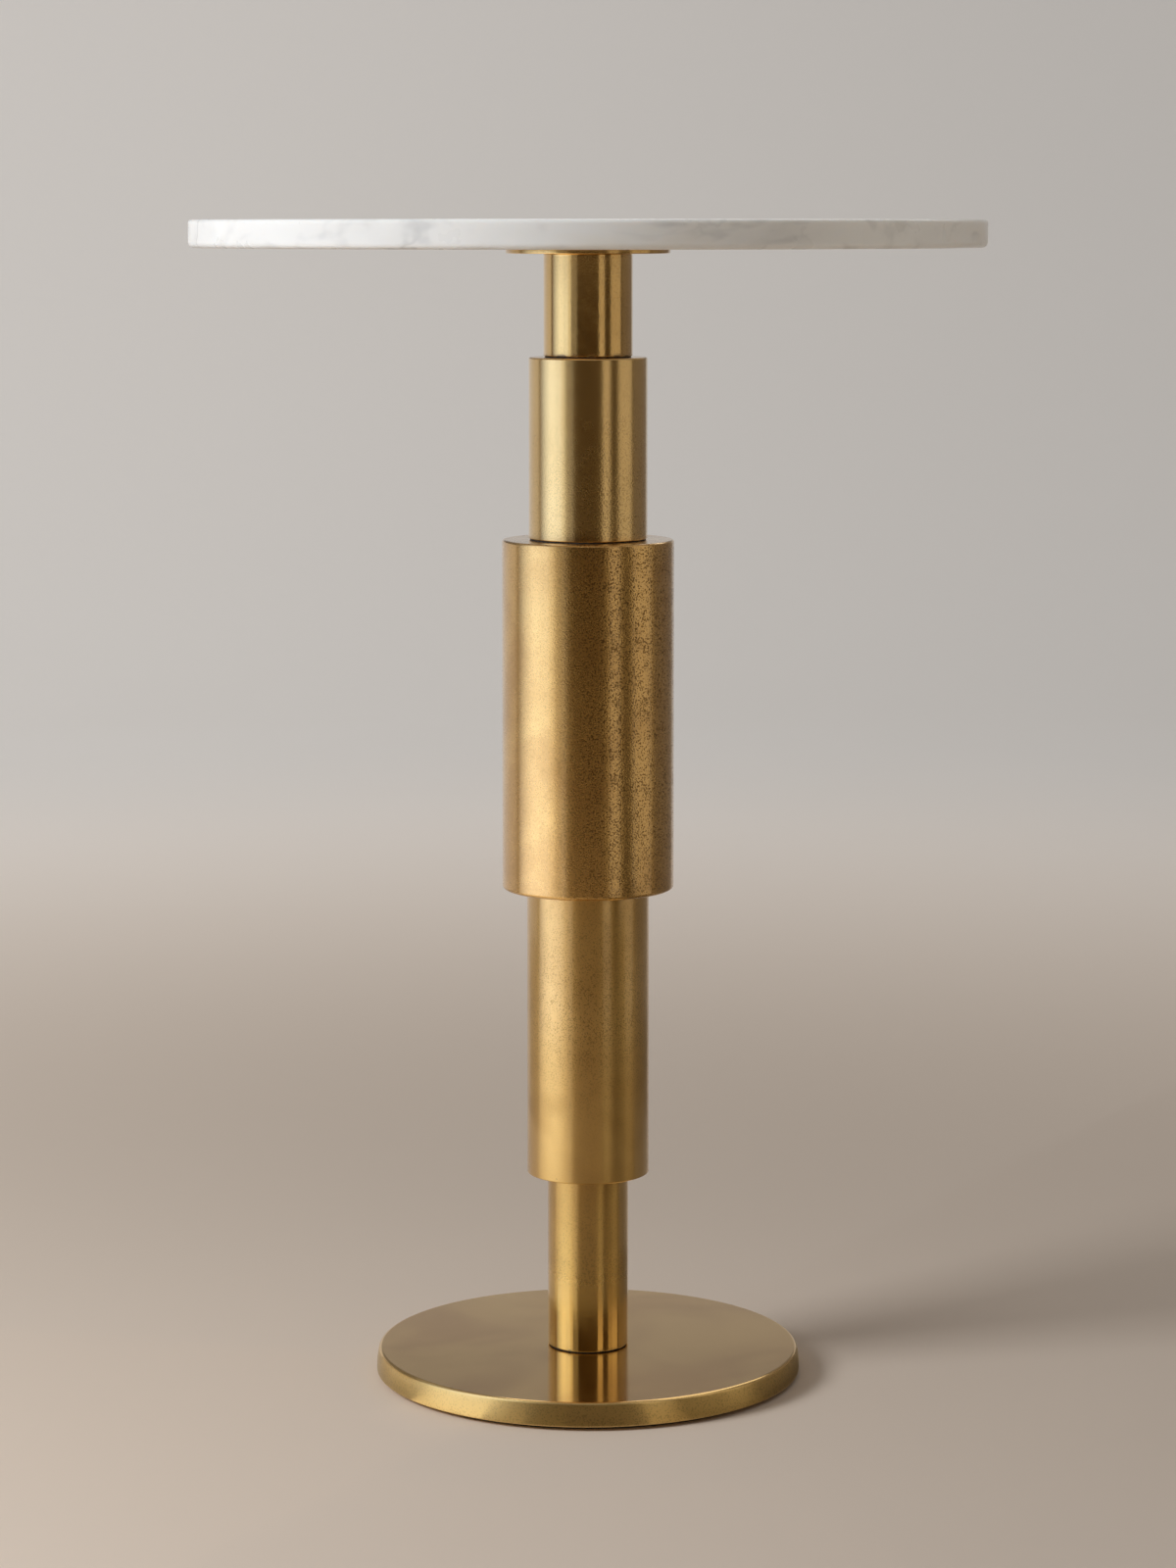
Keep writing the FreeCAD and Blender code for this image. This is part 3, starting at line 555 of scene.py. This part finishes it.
upper = {"steps": 224, "roundSegments": 6, "spacing": 4 * mm, "wall": 4 * mm, "ceiling": 8 * mm,
         "spigot": 19.4 * mm, "spigotHeight": 4 * mm, "upperRound": 1 * mm, "lowerRound": 0.6 * mm,
         "waves": {"seed": 2.0, "depth": 0.04 * mm},
         "look": {"clean": (0.82, 0.57, 0.23, 1.0), "aged": (0.70, 0.45, 0.15, 1.0),
                  "grainAlong": [(0.0, 0.6), (0.35, 0.45), (0.7, 0.25), (1.0, 0.15)],
                  "agedAlong": [(0.0, 0.5), (1.0, 0.4)], "roughAlong": [(0.0, 0.24), (1.0, 0.24)],
                  "litSideTo": -0.016, "litSideFrom": 0.006, "litSideGrain": 0.4,
                  "strayShare": 0.5, "strayReach": 0.06, "roughDrift": 0.02, "brush": 0.62}}


def buildUpper():
    outer, low, crown = reachOf("upper_sleeve")
    bore = outer - upper["wall"]
    high = crown - upper["spigotHeight"]
    ceiling = high - upper["ceiling"]
    corners = [(bore, low, 0.0), (outer, low, upper["lowerRound"]), (outer, high, upper["upperRound"]),
               (upper["spigot"], high, 0.0), (upper["spigot"], crown, 0.0), (rodHole, crown, 0.0),
               (rodHole, ceiling, 0.0), (bore, ceiling, 0.0)]
    shape = turnCorners(corners, upper["steps"], upper["roundSegments"], upper["spacing"])
    castWaves(shape, outer, upper["waves"])
    material = brassFinish("upperBrass", low, high, upper["look"])
    finishPiece(shape, "upperSleeve", material, "cast_brass", "upper_sleeve")


# drum and the plate that closes it

drum = {"steps": 256, "roundSegments": 6, "spacing": 4 * mm, "wall": 5 * mm, "ceiling": 10 * mm,
        "rebate": 2.5 * mm, "spigot": 25.9 * mm, "spigotHeight": 4 * mm,
        "upperRound": 1.3 * mm, "lowerRound": 1.8 * mm, "waves": {"seed": 3.0},
        "plateSteps": 160, "plateSegments": 3, "plateRound": 0.2 * mm, "plateGap": 0.1 * mm,
        "plateRegister": 26.9 * mm, "plateThickness": 10 * mm,
        "look": {"clean": (0.80, 0.505, 0.17, 1.0), "aged": (0.62, 0.36, 0.11, 1.0),
                 "grainAlong": [(0.0, 0.7), (0.2, 0.9), (1.0, 1.0)], "grainDepth": 0.09 * mm,
                 "agedAlong": [(0.0, 0.7), (1.0, 0.8)], "roughAlong": [(0.0, 0.24), (1.0, 0.24)],
                 "litSideTo": -0.022, "litSideFrom": 0.008, "litSideGrain": 0.2,
                 "fleckDark": 0.85, "brush": 0.6}}


def buildDrum():
    outer, low, crown = reachOf("drum_shell")
    bore, seat = outer - drum["wall"], outer - drum["rebate"]
    high = crown - drum["spigotHeight"]
    ceiling, step = high - drum["ceiling"], low + drum["plateThickness"]
    corners = [(seat, low, 0.0), (outer, low, drum["lowerRound"]), (outer, high, drum["upperRound"]),
               (drum["spigot"], high, 0.0), (drum["spigot"], crown, 0.0), (rodHole, crown, 0.0),
               (rodHole, ceiling, 0.0), (bore, ceiling, 0.0), (bore, step, 0.0), (seat, step, 0.0)]
    shape = turnCorners(corners, drum["steps"], drum["roundSegments"], drum["spacing"])
    castWaves(shape, outer, drum["waves"])
    material = brassFinish("drumBrass", low, high, drum["look"])
    finishPiece(shape, "drumShell", material, "cast_brass", "drum_shell")
    rim, register = seat - drum["plateGap"], drum["plateRegister"]
    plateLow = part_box("drum_end_plate")[0].z
    corners = [(rodHole, plateLow, 0.0), (register, plateLow, 0.0), (register, low, 0.0),
               (rim, low, drum["plateRound"]), (rim, step, 0.0), (rodHole, step, 0.0)]
    shape = turnCorners(corners, drum["plateSteps"], drum["plateSegments"])
    finishPiece(shape, "drumEndPlate", material, "cast_brass", "drum_end_plate")


# lower sleeve

lower = {"steps": 224, "roundSegments": 6, "spacing": 4 * mm, "wall": 4 * mm, "floor": 8 * mm,
         "spigot": 17.4 * mm, "spigotHeight": 4 * mm, "round": 0.6 * mm,
         "waves": {"seed": 4.0, "depth": 0.05 * mm},
         "look": {"grainAlong": [(0.0, 0.1), (0.18, 0.12), (0.35, 0.4), (0.55, 0.8), (0.9, 0.5), (1.0, 0.3)],
                  "agedAlong": [(0.0, 0.4), (0.14, 0.6), (0.22, 1.0), (0.34, 0.6), (1.0, 0.5)],
                  "roughAlong": [(0.0, 0.32), (1.0, 0.32)], "brush": 0.72, "strayShare": 0.35,
                  "grainSize": 0.65 * mm, "fleckDark": 0.6}}


def buildLower():
    outer, tip, high = reachOf("lower_sleeve")
    bore = outer - lower["wall"]
    low = tip + lower["spigotHeight"]
    inside = low + lower["floor"]
    corners = [(rodHole, tip, 0.0), (lower["spigot"], tip, 0.0), (lower["spigot"], low, 0.0),
               (outer, low, lower["round"]), (outer, high, lower["round"]), (bore, high, 0.0),
               (bore, inside, 0.0), (rodHole, inside, 0.0)]
    shape = turnCorners(corners, lower["steps"], lower["roundSegments"], lower["spacing"])
    castWaves(shape, outer, lower["waves"])
    material = brassFinish("lowerBrass", low, high, lower["look"])
    finishPiece(shape, "lowerSleeve", material, "cast_brass", "lower_sleeve")


# base plate, its bush, pad and washer

base = {"steps": 320, "roundSegments": 8, "spacing": 5 * mm, "draft": 1.2 * mm, "waistRound": 4 * mm,
        "upperRound": 1.5 * mm, "lowerRound": 0.8 * mm, "bore": 17.45 * mm, "seat": 22.05 * mm,
        "seatDepth": 4 * mm, "smallSteps": 128, "smallSegments": 3,
        "bushRadius": 17.4 * mm, "bushFlange": 22 * mm, "bushRound": 0.3 * mm, "bushLeadIn": 0.6 * mm,
        "recess": 12 * mm, "recessRoof": 14 * mm,
        "washerRound": 0.2 * mm, "padHole": 23 * mm, "padRound": 0.3 * mm,
        "look": {"clean": (0.95, 0.68, 0.27, 1.0), "aged": (0.61, 0.36, 0.13, 1.0),
                 "rimReach": 0.5 * mm, "cloudSize": 0.09, "cloudShare": 0.5,
                 "grainAlong": [(0.0, 0.35), (0.8, 0.35), (1.0, 0.0)],
                 "agedAlong": [(0.0, 0.1), (0.9, 0.1), (1.0, 0.89)],
                 "roughAlong": [(0.0, 0.36), (0.88, 0.36), (1.0, 0.12)],
                 "roughDrift": 0.02, "brush": 0.9, "lacquer": 0.3, "strayShare": 0.1}}


def buildBase():
    outer, low, high = reachOf("base_plate")
    seatTop = low + base["seatDepth"]
    corners = [(base["seat"], low, 0.0), (outer, low, base["lowerRound"]),
               (outer, (low + high) / 2, base["waistRound"]),
               (outer - base["draft"], high, base["upperRound"]), (base["bore"], high, 0.0),
               (base["bore"], seatTop, 0.0), (base["seat"], seatTop, 0.0)]
    shape = turnCorners(corners, base["steps"], base["roundSegments"], base["spacing"])
    material = brassFinish("plateBrass", low, high, base["look"])
    finishPiece(shape, "basePlate", material, "plate_brass", "base_plate")


def buildBush(material):
    _, low, high = reachOf("base_bush")
    seatTop, roof = low + base["seatDepth"], base["recessRoof"]
    corners = [(base["recess"], low, base["bushRound"]), (base["bushFlange"], low, base["bushRound"]),
               (base["bushFlange"], seatTop, 0.0), (base["bushRadius"], seatTop, 0.0),
               (base["bushRadius"], high, base["bushLeadIn"]), (rodHole, high, 0.0),
               (rodHole, roof, 0.0), (base["recess"], roof, 0.0)]
    shape = turnCorners(corners, base["smallSteps"], base["smallSegments"])
    finishPiece(shape, "baseBush", material, "turned_brass", "base_bush")


def buildWasher(material):
    outer, low, high = reachOf("base_washer")
    places = [(rodHole, low), (outer, low), (outer, high), (rodHole, high)]
    corners = [(radius, height, base["washerRound"]) for radius, height in places]
    shape = turnCorners(corners, base["smallSteps"], base["smallSegments"])
    finishPiece(shape, "baseWasher", material, "zinc_steel", "base_washer")


def buildPad(material):
    outer, low, high = reachOf("base_pad")
    corners = [(base["padHole"], low, base["padRound"]), (outer, low, base["padRound"]),
               (outer, high, 0.0), (base["padHole"], high, 0.0)]
    shape = turnCorners(corners, base["steps"], base["smallSegments"])
    finishPiece(shape, "basePad", material, "pad_rubber", "base_pad")


turnedLook = {"grainAlong": [(0.0, 0.1), (1.0, 0.1)]}
turnedBrass = brassFinish("turnedBrass", cadLow.z, cadHigh.z, turnedLook)
steel = steelFinish()
padRubber = rubberFinish("padRubber", padLook)
gasketRubber = rubberFinish("gasketRubber", gasketLook)

marbleSlab = buildTop()
buildFlange()
buildTube(neck, "neck_tube", "neckTube", "neckBrass")
buildUpper()
buildDrum()
buildLower()
buildTube(foot, "foot_tube", "footTube", "footBrass")
buildBase()
buildBush(turnedBrass)
buildWasher(steel)
buildPad(padRubber)

# CAD pieces that keep their shape and only get a finish

keptNodes = {
    steel: ["tie_rod", "hub_jam_nut", "base_nut", "base_spring_washer", "flange_screws"],
    turnedBrass: ["flange_hub", "top_inserts"],
    gasketRubber: ["base_gasket", "foot_gasket", "lower_gasket", "drum_gasket", "upper_gasket",
                   "top_bedding"],
}
for material, names in keptNodes.items():
    for name in names:
        slots = cadNodes[name].data.materials
        slots.clear()
        slots.append(material)
print("CAD nodes dressed:", sum(len(names) for names in keptNodes.values()))

# stage: one sweep of floor and wall, and sheets that only reflections see: painted reflections, the pale ones
# painting light and the dark ones shade into the brass

sweep = {"radius": 4.0, "height": 3.0, "cove": 1.2, "coveSegments": 12, "steps": 128,
         "near": (0.77, 0.65, 0.545, 1.0), "far": (0.68, 0.65, 0.62, 1.0), "nearReach": 0.5, "farReach": 2.6,
         # the next two lines set painted light on the far wall, stronger on the left and gone high up
         "paintedLift": 0.47, "liftFrom": 0.3, "liftTo": 2.0, "liftFade": 0.95, "liftTop": 1.28,
         "liftLeft": 1.25, "liftRight": 0.72, "liftWidth": 1.6,
         "driftNoise": (0.35, 5.0, 0.6), "roughRange": (0.3, 0.7, 0.75, 0.9)}
reflectionSteps = 24
rimEdge = [(0.109, 0.0015), (0.135, 0.004)]  # just outside the base, where its rim mirrors the floor
# angles run round the column as for the lamps; an edge is two places (radius, height)
paintedReflections = [
    {"name": "darkReflection", "from": -104, "to": 98, "edge": [(2.4, 0.0), (2.4, 2.4)],
     "colour": (0.12, 0.08, 0.04, 1.0)},
    {"name": "leftFloorReflection", "from": -104, "to": -30, "edge": [(0.135, 0.003), (0.85, 0.003)],
     "colour": (0.75, 0.62, 0.44, 1.0)},
    {"name": "rimLeftReflection", "from": -104, "to": -56, "edge": rimEdge, "colour": (0.40, 0.36, 0.31, 1.0)},
    # a glowing sheet, no lamp: painted highlight on the base's rim
    {"name": "rimGlowReflection", "from": -56, "to": -30, "edge": rimEdge, "colour": (1.0, 0.90, 0.72, 1.0),
     "paintedGlow": 0.15},
    {"name": "rimFadeReflection", "from": -30, "to": -18, "edge": rimEdge, "colour": (0.40, 0.31, 0.19, 1.0)},
    {"name": "rimDimReflection", "from": -18, "to": -6, "edge": rimEdge, "colour": (0.21, 0.16, 0.09, 1.0)},
    {"name": "rimDarkReflection", "from": -6, "to": 17, "edge": rimEdge, "colour": (0.15, 0.11, 0.065, 1.0)},
    {"name": "rimStripReflection", "from": 17, "to": 28, "edge": rimEdge, "colour": (0.36, 0.28, 0.17, 1.0)},
    {"name": "rimSideReflection", "from": 28, "to": 58, "edge": rimEdge, "colour": (0.18, 0.14, 0.08, 1.0)},
    {"name": "rimEndReflection", "from": 58, "to": 150, "edge": rimEdge, "colour": (0.10, 0.08, 0.06, 1.0)},
    # a glowing sheet, no lamp: painted highlight on the foot's low end
    {"name": "footGlowReflection", "from": -92, "to": -52, "edge": [(0.135, 0.004), (0.2, 0.004)],
     "colour": (1.0, 0.92, 0.78, 1.0), "paintedGlow": 0.1},
    {"name": "footReflection", "from": -30, "to": 98, "edge": [(0.135, 0.003), (0.2, 0.003)],
     "colour": (0.18, 0.135, 0.08, 1.0)},
    {"name": "footStripReflection", "from": 27, "to": 43, "edge": [(0.135, 0.004), (0.3, 0.004)],
     "colour": (0.32, 0.26, 0.17, 1.0)},
    {"name": "footEndReflection", "from": 98, "to": 150, "edge": [(0.135, 0.004), (0.25, 0.004)],
     "colour": (0.15, 0.125, 0.10, 1.0)},
    # a glowing sheet, no lamp: painted light in the left edges of the brass near the floor
    {"name": "lowLeftReflection", "from": -140, "to": -103, "edge": [(0.6, 0.0), (0.6, 0.12)],
     "colour": (0.36, 0.30, 0.23, 1.0), "paintedGlow": 0.4},
    {"name": "lowRightReflection", "from": 50, "to": 72, "edge": [(0.6, 0.0), (0.6, 0.14)],
     "colour": (0.08, 0.06, 0.035, 1.0)},
    {"name": "lowEndReflection", "from": 95, "to": 150, "edge": [(0.6, 0.0), (0.6, 0.07)],
     "colour": (0.12, 0.10, 0.075, 1.0)},
    {"name": "frontFloorReflection", "from": -30, "to": 25, "edge": [(0.2, 0.003), (2.4, 0.003)],
     "colour": (0.38, 0.28, 0.17, 1.0)},
    {"name": "sideFloorReflection", "from": 25, "to": 98, "edge": [(0.2, 0.003), (2.4, 0.003)],
     "colour": (0.20, 0.15, 0.09, 1.0)},
    {"name": "rightFloorReflection", "from": 98, "to": 150, "edge": [(0.115, 0.003), (2.2, 0.003)],
     "colour": (0.33, 0.275, 0.22, 1.0)},
    {"name": "rightReflection", "from": 98, "to": 152, "edge": [(2.2, 0.0), (2.2, 2.4)],
     "colour": (0.38, 0.32, 0.265, 1.0)},
    {"name": "edgeReflection", "from": -109, "to": -103, "edge": [(1.0, 0.48), (1.0, 1.6)],
     "colour": (0.27, 0.21, 0.15, 1.0)},
    {"name": "lowEdgeReflection", "from": -109, "to": -103, "edge": [(1.0, 0.0), (1.0, 0.48)],
     "colour": (0.42, 0.33, 0.24, 1.0)},
]


def floorFinish():
    material, tree, shader, place = startMaterial("palePlaster")
    away = addNode(tree, "ShaderNodeVectorMath", {0: place}, operation="LENGTH").outputs["Value"]
    reach = fade(tree, away, sweep["nearReach"], sweep["farReach"])
    colour = blendColour(tree, reach, sweep["near"], sweep["far"])
    tree.links.new(colour, shader.inputs["Base Color"])
    tree.links.new(colour, shader.inputs["Emission Color"])
    # the far wall is painted paler than the light on it, for the camera and in the brass; this painted light
    # is strongest on the left and low down, and fades towards the right and up the wall
    path = addNode(tree, "ShaderNodeLightPath").outputs
    seen = reckon(tree, "MAXIMUM", path["Is Camera Ray"], path["Is Glossy Ray"])
    sides = addNode(tree, "ShaderNodeSeparateXYZ", {0: place}).outputs
    farPart = fade(tree, away, sweep["liftFrom"], sweep["liftTo"])
    lowPart = fade(tree, sides["Z"], sweep["liftTop"], sweep["liftFade"], 0.0, sweep["paintedLift"])
    left, right = -sweep["liftWidth"], sweep["liftWidth"]
    paintedSideLight = fade(tree, sides["X"], left, right, sweep["liftLeft"], sweep["liftRight"])
    seenFar = reckon(tree, "MULTIPLY", seen, farPart)
    paintedLift = reckon(tree, "MULTIPLY", seenFar, reckon(tree, "MULTIPLY", lowPart, paintedSideLight))
    tree.links.new(paintedLift, shader.inputs["Emission Strength"])
    drift = softNoise(tree, place, *sweep["driftNoise"])
    tree.links.new(fade(tree, drift, *sweep["roughRange"]), shader.inputs["Roughness"])
    return material


def reflectionSheetFinish(reflectionSheet):
    material, _, shader, _ = startMaterial(reflectionSheet["name"] + "Cloth")
    # a flat colour seen only in reflections: a painted reflection
    shader.inputs["Base Color"].default_value = reflectionSheet["colour"]
    shader.inputs["Roughness"].default_value = 1.0
    shader.inputs["Specular IOR Level"].default_value = 0.0
    # the glow makes a sheet shine though it is no lamp: painted light
    shader.inputs["Emission Color"].default_value = reflectionSheet["colour"]
    shader.inputs["Emission Strength"].default_value = reflectionSheet.get("paintedGlow", 0.0)
    return material


def standOnStage(shape, name, material):
    mesh = bpy.data.meshes.new(name)
    shape.to_mesh(mesh)
    shape.free()
    mesh.shade_smooth()
    mesh.materials.append(material)
    piece = bpy.data.objects.new(name, mesh)
    scene.collection.objects.link(piece)
    return piece


def placeReflectionSheet(reflectionSheet):
    shape = bmesh.new()
    start = math.radians(reflectionSheet["from"] - 90)
    outwards = Vector((math.cos(start), math.sin(start), 0.0))
    ends = [shape.verts.new(outwards * radius + Vector((0, 0, height))) for radius, height in reflectionSheet["edge"]]
    edge = shape.edges.new(ends)
    bmesh.ops.spin(shape, geom=ends + [edge], cent=(0, 0, 0), axis=(0, 0, 1),
                   angle=math.radians(reflectionSheet["to"] - reflectionSheet["from"]), steps=reflectionSteps)
    sheet = standOnStage(shape, reflectionSheet["name"], reflectionSheetFinish(reflectionSheet))
    # hidden from the camera, from diffuse light and from shadows, so it is only a painted reflection in the
    # brass
    sheet.visible_camera = False
    sheet.visible_diffuse = False
    sheet.visible_shadow = False


def buildStage():
    corners = [(0.0, 0.0, 0.0), (sweep["radius"], 0.0, sweep["cove"]),
               (sweep["radius"], sweep["height"], 0.0)]
    shape = turnCorners(corners, sweep["steps"], sweep["coveSegments"], closed=False)
    floor = standOnStage(shape, "floorSweep", floorFinish())
    for reflectionSheet in paintedReflections:
        placeReflectionSheet(reflectionSheet)
    print("stage set, screens and rugs:", len(paintedReflections))
    return floor


floorSweep = buildStage()

# lamps, placed by compass angle round the column: 0 is the camera's side, right is positive

lamps = [
    {"name": "leftKey", "angle": -63, "away": 1.3, "width": 0.6, "tall": 0.6, "centre": 0.95,
     "aim": 0.45, "glow": 14.6, "colour": (0.96, 1.0, 1.04), "mirrored": False},
    {"name": "backFill", "angle": 160, "away": 1.3, "width": 2.0, "tall": 2.0, "centre": 2.1,
     "aim": 0.4, "glow": 1.1, "colour": (1.0, 0.98, 0.95), "spares": "floorOnly"},
]
# panels, in sections (from, to, glow)
softbox = {"away": 0.85, "low": 0.01, "high": 1.8, "colour": (0.86, 1.0, 1.26), "spares": "floorAndSlab",
           "sections": [(-103, -97, 0.38), (-97, -90, 0.72), (-90, -82, 1.0), (-82, -66, 1.28),
                        (-66, -52, 1.12)]}
softEdge = {**softbox, "colour": (0.94, 1.0, 1.06), "sections": [(-52, -44, 0.79), (-44, -28, 0.185)]}
strips = {"away": 0.85, "low": 0.01, "high": 1.3, "colour": (1.0, 0.90, 0.74), "spares": "floorOnly",
          "sections": [(28, 43, 0.49), (60, 93, 0.43)]}
sparedPieces = {"floorAndSlab": [floorSweep, marbleSlab], "floorOnly": [floorSweep]}
sky = {"colour": (1.0, 0.98, 0.95, 1.0), "strength": 0.32}


def standingPanels(name, panels):
    # upright panels side by side on a circle round the column
    middle = (panels["low"] + panels["high"]) / 2
    made = []
    for number, (start, end, glow) in enumerate(panels["sections"], 1):
        width = 2 * panels["away"] * math.tan(math.radians(end - start) / 2)
        made.append({"name": name + str(number), "angle": (start + end) / 2, "away": panels["away"],
                     "width": width, "tall": panels["high"] - panels["low"], "centre": middle,
                     "aim": middle, "glow": glow, "colour": panels["colour"], "spares": panels["spares"]})
    return made


for name, panels in (("softbox", softbox), ("softEdge", softEdge), ("strip", strips)):
    lamps += standingPanels(name, panels)


def buildLamps():
    # the panels are there for the brass: they stand close, and would leave hard pools of light elsewhere
    spared = {}
    for name, pieces in sparedPieces.items():
        spared[name] = bpy.data.collections.new(name)
        for piece in pieces:
            spared[name].objects.link(piece)
        for member in spared[name].collection_objects:
            member.light_linking.link_state = "EXCLUDE"
    for lamp in lamps:
        data = bpy.data.lights.new(lamp["name"], "AREA")
        data.shape = "RECTANGLE"
        data.size = lamp["width"]
        data.size_y = lamp["tall"]
        data.energy = lamp["glow"] * math.pi * data.size * data.size_y
        data.color = lamp["colour"]
        turn = math.radians(lamp["angle"])
        stand = bpy.data.objects.new(lamp["name"], data)
        stand.location = (math.sin(turn) * lamp["away"], -math.cos(turn) * lamp["away"], lamp["centre"])
        towards = Vector((0, 0, lamp["aim"])) - stand.location
        stand.rotation_euler = towards.to_track_quat("-Z", "Y").to_euler()
        stand.visible_camera = False
        stand.visible_glossy = lamp.get("mirrored", True)
        if "spares" in lamp:
            stand.light_linking.receiver_collection = spared[lamp["spares"]]
        scene.collection.objects.link(stand)
    world = bpy.data.worlds.new("softSky")
    world.use_nodes = True
    background = world.node_tree.nodes["Background"]
    background.inputs["Color"].default_value = sky["colour"]
    background.inputs["Strength"].default_value = sky["strength"]
    scene.world = world
    print("lamps:", len(lamps))


buildLamps()

# camera at the photograph's angle: level with the slab, tilted slightly down

camera = {"distance": 2.0375, "height": 0.585, "tilt": 4.2, "lens": 92.9, "sensor": 36.0, "shift": -0.1667}


def buildCamera():
    data = bpy.data.cameras.new("camera")
    data.lens = camera["lens"]
    data.sensor_width = camera["sensor"]
    data.shift_y = camera["shift"]
    stand = bpy.data.objects.new("camera", data)
    stand.location = (0.0, -camera["distance"], camera["height"])
    stand.rotation_euler = (math.radians(90 - camera["tilt"]), 0.0, 0.0)
    scene.collection.objects.link(stand)
    scene.camera = stand
    scene.view_settings.view_transform = "Standard"
    print("camera set")


buildCamera()
